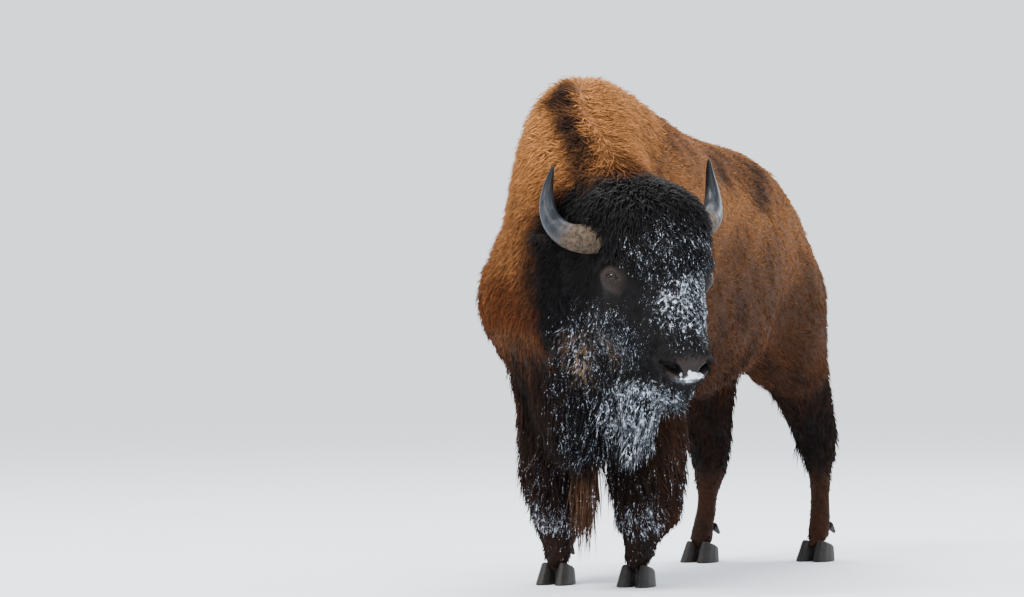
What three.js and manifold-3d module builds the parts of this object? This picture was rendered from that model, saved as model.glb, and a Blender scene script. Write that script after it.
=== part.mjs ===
// A bison bull at life size, standing in its winter coat with its head low and turned to its left.
// Millimetres, +Z up, hindquarters facing -Y, the bull's own left side towards +X. The origin is on
// the floor under the middle of the model.
//
// The bull is shaped straight and level first, in "body space": x to its left, y back along the spine
// from the front of the hump, z up from the floor. Its masses are distance fields that blend into one
// surface out to the tips of the coat. pose() then bends the spine, and thin cuts part the pieces.
import * as THREE from "three";
import Module from "manifold-3d";

const wasm = await Module();
wasm.setup();

// ---- Driving dimensions ----
const humpHeight = 1720;
const gap = 0.3; // between pieces that meet
const trunkTurn = 8; // degrees that the spine bends to the left, from the loin to the shoulders
const neckTurn = 48; // degrees that the neck bends further to the left
const trunkBend = { from: 1300, to: 300 };
const neckBend = { from: 190, to: -290 };
const headAside = 60; // how far the head is carried to the left of the neck's middle
const eye = { y: -560, z: 1058, radius: 21 }; // the middle between the eyes
const horn = { reach: 307, height: 360, baseRadius: 59, aside: 12, leftLift: 22 };
const frontFeet = { y: 225, apart: 290 };
const hindFeet = { apart: 330, leftY: 1680, rightY: 1425 };
const tail = { rootY: 1610, rootZ: 1215, swing: 84, tipZ: 610 };
const hoof = { height: 78, length: 132, width: 62 };
const facet = { trunk: [84, 116, 92], neck: [76, 68, 80], head: [53, 47, 53], leg: [55, 55, 78] };

const left = 1;
const right = -1;
const sides = [
  ["left", left],
  ["right", right],
];

// ---- Distance fields: negative inside ----
const clamp = (value, low, high) => Math.min(high, Math.max(low, value));
const mix = (a, b, t) => a + (b - a) * t;
const smoothStep = (t) => t * t * (3 - 2 * t);

function blended(a, b, width) {
  const overlap = Math.max(width - Math.abs(a - b), 0) / width;
  return Math.min(a, b) - (overlap * overlap * width) / 4;
}

// An egg-shaped mass, its front tipped down by pitch degrees.
function egg([cx, cy, cz], [rx, ry, rz], blend = 60, pitch = 0) {
  const c = Math.cos(THREE.MathUtils.degToRad(pitch));
  const s = Math.sin(THREE.MathUtils.degToRad(pitch));
  return {
    blend,
    distance(x, y, z) {
      const px = x - cx;
      const py = (y - cy) * c - (z - cz) * s;
      const pz = (y - cy) * s + (z - cz) * c;
      const near = Math.hypot(px / rx, py / ry, pz / rz);
      const slope = Math.hypot(px / rx ** 2, py / ry ** 2, pz / rz ** 2);
      return slope < 1e-9 ? -Math.min(rx, ry, rz) : (near * (near - 1)) / slope;
    },
  };
}

// A mass that tapers from one point to another; flat below 1 makes it thinner from side to side.
function taper(a, b, radiusA, radiusB, blend = 50, flat = 1) {
  const run = a.map((v, i) => b[i] - v);
  const length2 = run[0] ** 2 + run[1] ** 2 + run[2] ** 2;
  return {
    blend,
    distance(x, y, z) {
      const p = [x - a[0], y - a[1], z - a[2]];
      const t = clamp((p[0] * run[0] + p[1] * run[1] + p[2] * run[2]) / length2, 0, 1);
      const across = (p[0] - run[0] * t) / flat;
      const away = Math.hypot(across, p[1] - run[1] * t, p[2] - run[2] * t);
      return (away - mix(radiusA, radiusB, t)) * flat;
    },
  };
}

const bothSides = (make) => [make(left), make(right)];

// ---- Trunk: outline of the body seen from the side, and its widest half-breadth ----
const trunkStations = [
  // y, top, underside, half-breadth, height of the widest place
  [-470, 1330, 800, 180, 1040],
  [-330, 1470, 720, 220, 1060],
  [-190, 1600, 660, 245, 1070],
  [-60, 1694, 610, 248, 1080],
  [90, humpHeight, 590, 258, 1080],
  [300, 1672, 585, 277, 1060],
  [550, 1590, 585, 320, 1020],
  [800, 1528, 600, 338, 1010],
  [1050, 1490, 640, 328, 1030],
  [1250, 1460, 715, 275, 1060],
  [1400, 1408, 800, 225, 1060],
  [1530, 1335, 860, 170, 1050],
  [1620, 1240, 905, 120, 1040],
];
const upperFullness = 2.35;
const lowerFullness = 2.2;

function barrel() {
  const ys = trunkStations.map((station) => station[0]);
  const outline = new THREE.CubicInterpolant(
    ys,
    trunkStations.flatMap((station) => station.slice(1)),
    4,
    new Float64Array(4),
  );
  const front = ys[0];
  const rear = ys[ys.length - 1];
  return {
    blend: 90,
    distance(x, y, z) {
      const [top, underside, half, widest] = outline.evaluate(clamp(y, front, rear));
      const above = z > widest;
      const tall = above ? top - widest : widest - underside;
      const power = above ? upperFullness : lowerFullness;
      const across = Math.abs(x) / half;
      const rise = Math.abs(z - widest) / tall;
      const section = (across ** power + rise ** power) ** (1 / power) - 1;
      return Math.max(section * Math.min(half, tall), y - rear, front - y);
    },
  };
}

const trunkMasses = [
  barrel(),
  ...bothSides((side) => egg([side * 190, 70, 975], [160, 240, 215], 100)), // shoulders
  ...bothSides((side) => egg([side * 138, 1385, 930], [115, 205, 300], 100)), // haunches
  egg([0, 1520, 1050], [140, 130, 210], 90), // rump
  egg([0, -150, 660], [150, 190, 170], 110), // brisket mane
  taper([0, 1080, 660], [0, 1110, 560], 70, 18, 70), // sheath tuft
];

// ---- Legs ----
function foreleg(side) {
  const x = (side * frontFeet.apart) / 2;
  const y = frontFeet.y;
  const shoulder = [side * 190, y - 90, 900];
  const elbow = [side * 180, y - 5, 740];
  const knee = [x + side * 14, y + 5, 430];
  const fringe = [x + side * 10, y + 12, 225];
  const fetlock = [x, y + 10, 130];
  const backOf = (place, away, z) => [place[0] + side * 16, place[1] + away, z];
  return [
    taper(shoulder, elbow, 135, 125, 90),
    taper(elbow, knee, 125, 122, 50, 0.86),
    taper(knee, fringe, 122, 100, 40, 0.82),
    taper(backOf(knee, 85, 600), backOf(fringe, 95, 250), 96, 82, 50), // long hair behind
    taper(fringe, fetlock, 58, 48, 30),
    taper(fetlock, [x, y - 22, 62], 50, 52, 25),
  ];
}

function hindleg(side) {
  const x = (side * hindFeet.apart) / 2;
  const y = side === left ? hindFeet.leftY : hindFeet.rightY;
  const reachBack = side === left ? -8 : 68; // hoof to hock
  const hock = [x * 1.03, y + reachBack, side === left ? 418 : 350];
  const stifle = [side * 170, mix(y, 1400, 0.75) - 100, 800];
  const fetlock = [x, y + 15, 135];
  return [
    taper([side * 140, 1400, 980], stifle, 140, 118, 100),
    taper([side * 150, 1475, 920], hock, 130, 46, 80),
    taper(stifle, hock, 112, 62, 70),
    taper(hock, fetlock, 58, 40, 30, 0.85),
    taper(fetlock, [x, y - 22, 62], 47, 50, 25),
  ];
}

// ---- Head: places are [to its left, forward of the eyes, above the eyes] ----
const onHead = ([x, forward, up]) => [headAside + x, eye.y - forward, eye.z + up];
const headEgg = (place, radii, blend, pitch) => egg(onHead(place), radii, blend, pitch);
const headTaper = (a, b, ...rest) => taper(onHead(a), onHead(b), ...rest);
const headMasses = [
  headEgg([0, 5, 60], [158, 165, 150], 70), // skull
  headEgg([0, 60, 205], [170, 150, 140], 70, 12), // bonnet of curly hair
  headEgg([0, -150, 200], [178, 150, 108], 80), // crown, from the bonnet back to the mane
  headTaper([0, 95, 40], [0, 178, -200], 118, 84, 60), // bridge of the nose
  headEgg([0, 190, -278], [98, 92, 78], 40, 30), // muzzle
  ...bothSides((side) => headEgg([side * 128, 22, 6], [48, 62, 56], 40)), // brows
  ...bothSides((side) => headEgg([side * 88, -5, -125], [72, 112, 130], 70, 20)), // cheeks
  headTaper([0, -60, -200], [0, 130, -335], 110, 62, 60), // lower jaw
  headTaper([0, -60, -330], [-10, -60, -580], 112, 26, 70), // beard
  headTaper([0, 60, -350], [0, -10, -500], 74, 30, 60), // front of the beard
  headEgg([0, -235, 60], [222, 200, 230], 80), // nape
  headEgg([0, -215, -190], [195, 180, 240], 80), // throat mane
];

const bodyMasses = [
  ...trunkMasses,
  ...foreleg(left),
  ...foreleg(right),
  ...hindleg(left),
  ...hindleg(right),
  ...headMasses,
];

const fieldOf = (masses) => (x, y, z) =>
  masses.reduce(
    (found, mass) => blended(found, mass.distance(x, y, z), mass.blend),
    Infinity,
  );

// ---- Pose: the spine's bend, followed forwards from the tail ----
const stride = 10;
const spineEnd = 2000;
function turnAt(y) {
  const share = (bend) => smoothStep(clamp((bend.from - y) / (bend.from - bend.to), 0, 1));
  return THREE.MathUtils.degToRad(trunkTurn * share(trunkBend) + neckTurn * share(neckBend));
}
const spine = [[0, spineEnd]];
for (let y = spineEnd; y > -1300; y -= stride) {
  const [x0, y0] = spine[spine.length - 1];
  const turn = turnAt(y - stride / 2);
  spine.push([x0 + Math.sin(turn) * stride, y0 - Math.cos(turn) * stride]);
}

function pose(x, y, z) {
  const place = clamp((spineEnd - y) / stride, 0, spine.length - 2);
  const step = Math.floor(place);
  const share = place - step;
  const turn = turnAt(y);
  return [
    mix(spine[step][0], spine[step + 1][0], share) + x * Math.cos(turn),
    mix(spine[step][1], spine[step + 1][1], share) + x * Math.sin(turn),
    z,
  ];
}

// ---- Meshes ----
function geometryOf(points, triangles) {
  const geometry = new THREE.BufferGeometry();
  geometry.setAttribute("position", new THREE.Float32BufferAttribute(points.flat(), 3));
  geometry.setIndex(triangles.flat());
  return geometry;
}

// The surface of a field in a box, as a net of four-sided facets, posed.
function surfaceOf(field, low, high, cell) {
  const count = low.map((v, i) => Math.ceil((high[i] - v) / cell[i]) + 1);
  const at = (i, j, k) => (i * count[1] + j) * count[2] + k;
  const place = (...ijk) => ijk.map((v, n) => low[n] + v * cell[n]);
  const onEdge = (i, j, k) => [i, j, k].some((v, n) => v === 0 || v === count[n] - 1);
  const value = new Float64Array(count[0] * count[1] * count[2]);
  const everyCorner = (visit) => {
    for (let i = 0; i < count[0]; i++)
      for (let j = 0; j < count[1]; j++) for (let k = 0; k < count[2]; k++) visit(i, j, k);
  };
  everyCorner((i, j, k) => {
    const found = field(...place(i, j, k));
    value[at(i, j, k)] = onEdge(i, j, k) ? Math.max(found, cell[0] / 2) : found;
  });

  const corners = [0, 1, 2, 3, 4, 5, 6, 7].map((n) => [n & 1, (n >> 1) & 1, n >> 2]);
  const isEdge = (a, b) => a.reduce((sum, v, n) => sum + Math.abs(v - b[n]), 0) === 1;
  const edges = corners.flatMap((a, n) =>
    corners.slice(n + 1).flatMap((b) => (isEdge(a, b) ? [[a, b]] : [])),
  );
  const points = [];
  const pointOf = new Map();
  everyCorner((i, j, k) => {
    if ([i, j, k].some((v, n) => v === count[n] - 1)) return;
    const crossings = edges.flatMap(([a, b]) => {
      const va = value[at(i + a[0], j + a[1], k + a[2])];
      const vb = value[at(i + b[0], j + b[1], k + b[2])];
      return va < 0 === vb < 0 ? [] : [a.map((v, n) => mix(v, b[n], va / (va - vb)))];
    });
    if (!crossings.length) return;
    const middle = [0, 1, 2].map(
      (n) => crossings.reduce((sum, c) => sum + c[n], 0) / crossings.length,
    );
    pointOf.set(at(i, j, k), points.length);
    points.push(place(i + middle[0], j + middle[1], k + middle[2]));
  });

  const triangles = [];
  const join = (quad, flip) => {
    const [a, b, c, d] = flip ? quad.reverse() : quad;
    const far = (p, q) => Math.hypot(...points[p].map((v, n) => v - points[q][n]));
    triangles.push(...(far(a, c) < far(b, d) ? [[a, b, c], [a, c, d]] : [[b, c, d], [b, d, a]]));
  };
  everyCorner((i, j, k) => {
    const here = value[at(i, j, k)] < 0;
    const around = (di, dj, dk) => pointOf.get(at(i - di, j - dj, k - dk));
    if (i + 1 < count[0] && j && k && here !== value[at(i + 1, j, k)] < 0)
      join([around(0, 0, 0), around(0, 1, 0), around(0, 1, 1), around(0, 0, 1)], !here);
    if (j + 1 < count[1] && i && k && here !== value[at(i, j + 1, k)] < 0)
      join([around(0, 0, 0), around(0, 0, 1), around(1, 0, 1), around(1, 0, 0)], !here);
    if (k + 1 < count[2] && i && j && here !== value[at(i, j, k + 1)] < 0)
      join([around(0, 0, 0), around(1, 0, 0), around(1, 1, 0), around(0, 1, 0)], !here);
  });
  const settled = points.map((p) => pose(...settle(field, p, cell)));
  return geometryOf(settled, triangles);
}

// Moves a point onto the field's surface, by half a cell at most.
function settle(field, point, cell) {
  let p = point;
  for (let round = 0; round < 3; round++) {
    const d = field(...p);
    const rise = [0, 1, 2].map((n) => {
      const ahead = [...p];
      ahead[n] += 1;
      return field(...ahead) - d;
    });
    const steep = Math.max(rise[0] ** 2 + rise[1] ** 2 + rise[2] ** 2, 0.05);
    p = p.map((v, n) => clamp(v - (d * rise[n]) / steep, point[n] - cell[n] / 2, point[n] + cell[n] / 2));
  }
  return p;
}

const middleOf = (ring) => [0, 1, 2].map((n) => ring.reduce((sum, p) => sum + p[n], 0) / ring.length);

// A closed solid through rings of points that run from one end to the other.
function ringsOf(rings) {
  const around = rings[0].length;
  const points = [...rings.flat(), middleOf(rings[0]), middleOf(rings[rings.length - 1])];
  const [start, end] = [points.length - 2, points.length - 1];
  const last = (rings.length - 1) * around;
  const triangles = [];
  for (let i = 0; i < around; i++) {
    const next = (i + 1) % around;
    triangles.push([start, next, i], [end, last + i, last + next]);
    for (let row = 0; row < last; row += around)
      triangles.push(
        [row + i, row + next, row + around + next],
        [row + i, row + around + next, row + around + i],
      );
  }
  return geometryOf(points, triangles);
}

// An oval ring about a centre, spanned by two half-axes.
const oval = (centre, halfA, halfB, around) =>
  Array.from({ length: around }, (_, i) => {
    const angle = (i / around) * 2 * Math.PI;
    return centre.map((v, n) => v + halfA[n] * Math.cos(angle) + halfB[n] * Math.sin(angle));
  });

// A geometry as a solid whose faces point out, whichever way round its rings run.
function solidOf(geometry) {
  const triVerts = new Uint32Array(geometry.getIndex().array);
  const vertProperties = new Float32Array(geometry.getAttribute("position").array);
  const made = new wasm.Manifold(new wasm.Mesh({ numProp: 3, vertProperties, triVerts }));
  if (made.volume() > 0) return made;
  triVerts.reverse();
  return new wasm.Manifold(new wasm.Mesh({ numProp: 3, vertProperties, triVerts }));
}

// The same rings, wider and longer by the gap, for cutting room for a piece.
function widened(rings) {
  const middles = rings.map((ring) => new THREE.Vector3(...middleOf(ring)));
  return rings.map((ring, row) => {
    const isEnd = row === 0 || row === rings.length - 1;
    const inner = middles[row === 0 ? 1 : row - 1];
    const onward = middles[row].clone().sub(inner).setLength(isEnd ? gap : 0);
    return ring.map((p) => {
      const place = new THREE.Vector3(...p);
      const outward = place.clone().sub(middles[row]).setLength(gap);
      return place.add(outward).add(onward).toArray();
    });
  });
}

const posedRings = (rings) => solidOf(ringsOf(rings.map((ring) => ring.map((p) => pose(...p)))));
const roomFor = (rings) => posedRings(widened(rings));

// A block in body space from low to high, tipped in its own middle, and set rigidly where the spine
// passes the station y.
function block(y, low, high, { pitch = 0, lean = 0 } = {}) {
  const box = new THREE.BoxGeometry(...low.map((v, n) => high[n] - v)).toNonIndexed();
  const middle = low.map((v, n) => (v + high[n]) / 2);
  box.rotateX(THREE.MathUtils.degToRad(pitch));
  box.rotateY(THREE.MathUtils.degToRad(lean));
  box.translate(middle[0], middle[1] - y, middle[2]);
  box.rotateZ(turnAt(y));
  box.translate(...pose(0, y, 0));
  return solidOf(weld(box));
}

// Shares the vertices of triangles that touch.
function weld(geometry) {
  const places = geometry.getAttribute("position");
  const seen = new Map();
  const points = [];
  const index = [];
  for (let i = 0; i < places.count; i++) {
    const p = [places.getX(i), places.getY(i), places.getZ(i)];
    const key = p.map((v) => v.toFixed(3)).join();
    if (!seen.has(key)) {
      seen.set(key, points.length);
      points.push(p);
    }
    index.push(seen.get(key));
  }
  return geometryOf(points, index);
}

// ---- Cuts: each block is the room of one piece, grown by grow where its neighbour is cut ----
const reach = 1500;
const headRoom = (grow) => {
  const [, y] = onHead([0, -150, 0]);
  const pitch = 14;
  return block(y, [-reach, y - 2 * reach, eye.z - reach], [reach, y + grow, eye.z + reach], {
    pitch,
  });
};
const neckRoom = (grow) => block(-170, [-reach, -170 - reach, -reach], [reach, -170 + grow, 2 * reach]);
const foreRoom = (side, grow) => {
  const inner = side * 45;
  const outer = side * 600;
  const low = [Math.min(inner, outer) - grow, -110 - grow, -200];
  const high = [Math.max(inner, outer) + grow, 420 + grow, 690 + grow];
  return block(frontFeet.y, low, high);
};
const hindRoom = (side, grow) => {
  const inner = side * 45;
  const outer = side * 600;
  const low = [Math.min(inner, outer) - grow, 1130 - grow, -200];
  const high = [Math.max(inner, outer) + grow, 2100, 850 + grow];
  return block(1500, low, high);
};

// ---- Pieces ----
const finishes = {
  coat: { color: 0x8a5428, roughness: 0.95 },
  darkCoat: { color: 0x33221a, roughness: 0.95 },
  faceCoat: { color: 0x1d1816, roughness: 0.95 },
  horn: { color: 0x4d5256, roughness: 0.45 },
  hoof: { color: 0x24211f, roughness: 0.5 },
  eye: { color: 0x120b08, roughness: 0.08 },
};
const materials = Object.fromEntries(
  Object.entries(finishes).map(([name, finish]) => [
    name,
    new THREE.MeshStandardMaterial({ ...finish, metalness: 0 }),
  ]),
);
const bison = new THREE.Group();

function addPiece(name, solid, material) {
  const { vertProperties, triVerts } = solid.getMesh();
  const geometry = new THREE.BufferGeometry();
  geometry.setAttribute("position", new THREE.BufferAttribute(new Float32Array(vertProperties), 3));
  geometry.setIndex(new THREE.BufferAttribute(new Uint32Array(triVerts), 1));
  geometry.computeVertexNormals();
  const mesh = new THREE.Mesh(geometry, materials[material]);
  mesh.name = name;
  bison.add(mesh);
}

const field = fieldOf(bodyMasses);
const coatIn = (low, high, cell) => solidOf(surfaceOf(field, low, high, cell));
const largest = (solid) =>
  solid.decompose().reduce((a, b) => (b.volume() > a.volume() ? b : a));

// Eyes: balls sunk so far in the head that a third of each shows.
function eyePlace(side) {
  const [, y, z] = onHead([0, 30, 0]);
  let x = 250;
  while (field(headAside + side * x, y, z) > -eye.radius * 0.35) x -= 1;
  return [headAside + side * x, y, z];
}
function ballRings(place, radius, rows, around) {
  return Array.from({ length: rows }, (_, i) => {
    const angle = Math.PI * ((i + 0.5) / rows);
    const r = radius * Math.sin(angle);
    const centre = [place[0] + radius * Math.cos(angle), place[1], place[2]];
    return oval(centre, [0, 0, r], [0, r, 0], around);
  });
}

// Horns: out of the skull, back, round and up. The pair isn't quite even: the left one is higher.
function hornRings(side, around) {
  const lift = (z) => (side === left ? horn.leftLift * (2.4 - (1.4 * z) / horn.height) : 0);
  const path = new THREE.CatmullRomCurve3(
    [
      [110, -70, 128],
      [180, -95, 124],
      [250, -140, 126],
      [horn.reach - 12, -180, 168],
      [horn.reach, -206, 235],
      [horn.reach - 10, -208, 305],
      [horn.reach - 20, -196, horn.height],
    ].map(([x, y, z]) => new THREE.Vector3(...onHead([side * x + horn.aside, y, z + lift(z)]))),
  );
  const rows = 9;
  return Array.from({ length: rows + 1 }, (_, i) => {
    const t = i / rows;
    const radius = mix(horn.baseRadius, 5, t ** 1.6);
    const along = path.getTangentAt(t);
    const out = new THREE.Vector3(0, 1, 0).cross(along).setLength(radius);
    const through = along.clone().cross(out).setLength(radius * 0.94);
    return oval(path.getPointAt(t).toArray(), out.toArray(), through.toArray(), around);
  });
}

// Ears: a leaf that points out and back from under the horn.
function earRings(side, around) {
  const rows = 6;
  const root = onHead([side * 150, -172, 74]);
  const tip = onHead([side * 306, -300, 128]);
  return Array.from({ length: rows + 1 }, (_, i) => {
    const t = i / rows;
    const broad = mix(34, 50, Math.sin(Math.PI * Math.min(t * 1.25, 1))) * (1 - t ** 3) + 6;
    const thick = mix(30, 14, t);
    const centre = root.map((v, n) => mix(v, tip[n], t));
    return oval(centre, [0, 0, broad], [thick * 0.6 * side, -thick * 0.8, 0], around);
  });
}

// Tail: hangs from the rump, and ends in a long tuft.
function tailRings(around) {
  const rows = 10;
  return Array.from({ length: rows + 1 }, (_, i) => {
    const t = i / rows;
    const y = tail.rootY + tail.swing * smoothStep(clamp(t * 4, 0, 1));
    const radius = 30 - 12 * t + 34 * Math.sin(Math.PI * clamp((t - 0.5) * 2, 0, 1)) ** 1.2;
    const centre = [0, y, mix(tail.rootZ, tail.tipZ, t)];
    return oval(centre, [radius, 0, 0], [0, radius, radius * 0.4], around);
  });
}

// Hooves: two claws to a foot, each a wedge with a flat sole. Outward is the side its claw is on.
function clawRings(x, y, outward) {
  return [0, 0.35, 0.7, 1].map((t) => {
    const toe = y - hoof.length * mix(0.62, 0.3, t);
    const heel = y + hoof.length * mix(0.38, 0.4, t);
    const half = (hoof.width * mix(1, 0.78, t)) / 2;
    const middle = x + outward * (hoof.width / 2 + 3 - 4 * t);
    const ring = oval([middle, (toe + heel) / 2, 0], [half, 0, 0], [0, (heel - toe) / 2, 0], 10);
    return ring.map(([px, py]) => {
      const share = (py - toe) / (heel - toe);
      return [px, py, t * mix(hoof.height, hoof.height * 0.62, share)];
    });
  });
}

// Dewclaws: two small horny points behind each fetlock.
function dewclawRings(x, y, outward) {
  return [0, 0.5, 1].map((t) => {
    const radius = mix(17, 7, t);
    const centre = [x + outward * 26, y + mix(30, 74, t), mix(128, 98, t)];
    return oval(centre, [radius, 0, 0], [0, radius * 0.5, radius * 0.8], 8);
  });
}

let head = coatIn([-260, eye.y - 420, 380], [380, eye.y + 330, 1560], facet.head);
let neck = coatIn([-420, -800, 420], [420, 60, 1800], facet.neck).intersect(neckRoom(0));
head = head.intersect(headRoom(0));
neck = neck.subtract(headRoom(gap));
for (const [name, side] of sides) {
  const pieces = {
    eye: [ballRings(eyePlace(side), eye.radius, 7, 10), "eye"],
    horn: [hornRings(side, 10), "horn"],
    ear: [earRings(side, 10), "faceCoat"],
  };
  for (const [piece, [rings, material]] of Object.entries(pieces)) {
    head = head.subtract(roomFor(rings));
    neck = neck.subtract(roomFor(rings));
    addPiece(`${piece}_${name}`, posedRings(rings), material);
  }
}
addPiece("head", largest(head), "faceCoat");
addPiece("neck", largest(neck), "coat");

addPiece("tail", posedRings(tailRings(8)), "darkCoat");

function makeLeg(name, side, room, footX, footY, [from, to], top) {
  const xs = [-side * 20, side * 420].sort((a, b) => a - b);
  let leg = coatIn([xs[0], from, -40], [xs[1], to, top], facet.leg).intersect(room(side, 0));
  const low = [footX - 400, footY - 400, -400];
  const high = [footX + 400, footY + 400, hoof.height * 0.6];
  leg = leg.subtract(block(footY, low, high));
  for (const [place, outward] of [
    ["outer", side],
    ["inner", -side],
  ]) {
    const claw = clawRings(footX, footY - 10, outward);
    const dewclaw = dewclawRings(footX, footY, outward);
    leg = leg.subtract(roomFor(claw)).subtract(roomFor(dewclaw));
    addPiece(`hoof_${name}_${place}`, posedRings(claw), "hoof");
    addPiece(`dewclaw_${name}_${place}`, posedRings(dewclaw), "hoof");
  }
  addPiece(`leg_${name}`, largest(leg), "darkCoat");
}

let trunk = coatIn([-500, -500, 450], [500, 1980, 1810], facet.trunk)
  .subtract(neckRoom(gap))
  .subtract(roomFor(tailRings(8)));
for (const [name, side] of sides) {
  trunk = trunk.subtract(foreRoom(side, gap)).subtract(hindRoom(side, gap));
  const footX = (feet) => (side * feet.apart) / 2;
  const hindY = side === left ? hindFeet.leftY : hindFeet.rightY;
  makeLeg(`front_${name}`, side, foreRoom, footX(frontFeet), frontFeet.y, [-160, 520], 780);
  makeLeg(`hind_${name}`, side, hindRoom, footX(hindFeet), hindY, [1080, 1900], 940);
}
addPiece("trunk", largest(trunk), "coat");

// The origin goes on the floor, under the middle of the model.
const box = new THREE.Box3().setFromObject(bison);
const middle = box.getCenter(new THREE.Vector3());
bison.position.set(-middle.x, -middle.y, -box.min.z);

export default bison;
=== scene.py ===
import math

import bmesh
import bpy
import numpy as np
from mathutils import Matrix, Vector


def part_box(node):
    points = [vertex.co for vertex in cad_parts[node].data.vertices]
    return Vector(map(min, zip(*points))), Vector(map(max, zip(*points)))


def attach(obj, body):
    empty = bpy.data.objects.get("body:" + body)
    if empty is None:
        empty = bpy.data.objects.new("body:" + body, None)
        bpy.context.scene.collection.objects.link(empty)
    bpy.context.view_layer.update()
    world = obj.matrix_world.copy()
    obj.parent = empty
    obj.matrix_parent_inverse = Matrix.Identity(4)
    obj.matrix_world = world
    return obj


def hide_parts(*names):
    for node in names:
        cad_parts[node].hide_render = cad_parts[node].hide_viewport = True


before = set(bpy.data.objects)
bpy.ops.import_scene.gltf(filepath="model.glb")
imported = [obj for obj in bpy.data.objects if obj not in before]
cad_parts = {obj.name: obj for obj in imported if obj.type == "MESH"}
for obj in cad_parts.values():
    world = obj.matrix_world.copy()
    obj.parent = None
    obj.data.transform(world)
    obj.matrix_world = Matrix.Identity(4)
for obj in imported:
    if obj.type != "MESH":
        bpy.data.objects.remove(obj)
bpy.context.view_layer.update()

# Camera, floor and studio light.
# The bull is seen from its front left through a long lens, a little below the height of its hump.
# The floor is a wide pale sheet that fades into the studio, and the light is soft from all round.
camera_place, camera_dip, camera_turn, camera_lens = (10.4837, -19.4397, 1.568), 1.578, 30, 227.8
floor_near, floor_far = 5.0, 15.0
studio_colour, studio_strength = (0.90, 0.94, 1.0, 1), 1.7


def placed(name, data):
    made = bpy.data.objects.new(name, data)
    bpy.context.collection.objects.link(made)
    return made


camera = placed("camera", bpy.data.cameras.new("camera"))
camera.location = camera_place
camera.rotation_euler = (math.radians(90 - camera_dip), 0, math.radians(camera_turn))
camera.data.lens = camera_lens
camera.data.clip_end = 200
bpy.context.scene.camera = camera


def panel(name, place, aim, size, power, colour):
    light = placed(name, bpy.data.lights.new(name, "AREA"))
    light.data.shape = "DISK"
    light.data.size = size
    light.data.energy = power
    light.data.color = colour
    light.location = place
    light.rotation_euler = (Vector(aim) - Vector(place)).to_track_quat("-Z", "Y").to_euler()


panel("key_light", (-1.5, -7.0, 8.0), (0, 0, 0.9), 4.0, 1350, (1.0, 0.97, 0.93))
panel("fill_light", (7.5, -6.0, 4.0), (0, 0, 0.8), 5.0, 350, (0.92, 0.96, 1.0))
panel("top_light", (-1.0, 1.5, 7.5), (0, 0.2, 1.0), 4.5, 700, (0.97, 0.98, 1.0))
panel("rear_light", (3.5, 8.0, 4.5), (0, 0.4, 1.0), 4.0, 450, (0.95, 0.97, 1.0))

world = bpy.data.worlds.new("studio")
bpy.context.scene.world = world
world.use_nodes = True
backdrop = world.node_tree.nodes["Background"].inputs
backdrop["Color"].default_value = studio_colour
backdrop["Strength"].default_value = studio_strength


class Tie:
    """A socket of a material's node tree, with sums and products written as on numbers."""

    tree = None

    def __init__(self, socket):
        self.socket = socket

    @classmethod
    def node(cls, kind, settings=None, output=0, **values):
        made = cls.tree.nodes.new(kind)
        for key, value in (settings or {}).items():
            setattr(made, key, value)
        for key, value in values.items():
            name = key.strip("_").replace("_", " ")
            put(made, int(name) if name.isdigit() else name, value)
        return cls(made.outputs[output])

    @classmethod
    def maths(cls, operation, one, two):
        return cls.node("ShaderNodeMath", {"operation": operation}, _0=one, _1=two)

    def __add__(self, other):
        return Tie.maths("ADD", self, other)

    def __sub__(self, other):
        return Tie.maths("SUBTRACT", self, other)

    def __mul__(self, other):
        return Tie.maths("MULTIPLY", self, other)

    def __rsub__(self, other):
        return Tie.maths("SUBTRACT", other, self)

    __radd__ = __add__
    __rmul__ = __mul__


def put(made, socket, value):
    target = made.inputs[socket]
    if isinstance(value, Tie):
        made.id_data.links.new(value.socket, target)
    else:
        target.default_value = value


def material(name, **constants):
    made = bpy.data.materials.new(name)
    made.use_nodes = True
    Tie.tree = made.node_tree
    shader = made.node_tree.nodes["Principled BSDF"]
    for key, value in constants.items():
        shader.inputs[key.replace("_", " ")].default_value = value
    return made, shader


def between(value, low, high):
    smooth = {"interpolation_type": "SMOOTHSTEP"}
    return Tie.node("ShaderNodeMapRange", smooth, Value=value, From_Min=low, From_Max=high)


def tint(share, below, above):
    below, above = (c if isinstance(c, Tie) else (*c, 1) for c in (below, above))
    return Tie.node("ShaderNodeMix", {"data_type": "RGBA"}, output=2, _0=share, _6=below, _7=above)


def at_object():
    return Tie.node("ShaderNodeTexCoord", output="Object")


def vector_math(operation, output=0, **values):
    return Tie.node("ShaderNodeVectorMath", {"operation": operation}, output=output, **values)


def noise(scale, detail=2.0, roughness=0.5, distortion=0.0, stretch=None):
    """Noise over the object's coordinates; a stretch below 1 draws it out along that axis."""
    place = vector_math("MULTIPLY", _0=at_object(), _1=stretch) if stretch else at_object()
    values = {"Vector": place, "Scale": scale, "Detail": detail}
    return Tie.node("ShaderNodeTexNoise", Roughness=roughness, Distortion=distortion, **values)


def bump(height, strength, distance):
    return Tie.node("ShaderNodeBump", Height=height, Strength=strength, Distance=distance)


floor_paint, shader = material("floor_paint", Roughness=0.9, Specular_IOR_Level=0.2)
speckle = noise(3.0, 4)
put(shader, "Base Color", tint(speckle, (0.80, 0.83, 0.87), (0.84, 0.87, 0.90)))
from_middle = vector_math("LENGTH", output="Value", _0=at_object())
put(shader, "Alpha", 1 - between(from_middle, floor_near, floor_far))
bpy.ops.mesh.primitive_plane_add(size=3 * floor_far)
floor = bpy.context.object
floor.name = "floor"
floor.data.materials.append(floor_paint)

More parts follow.
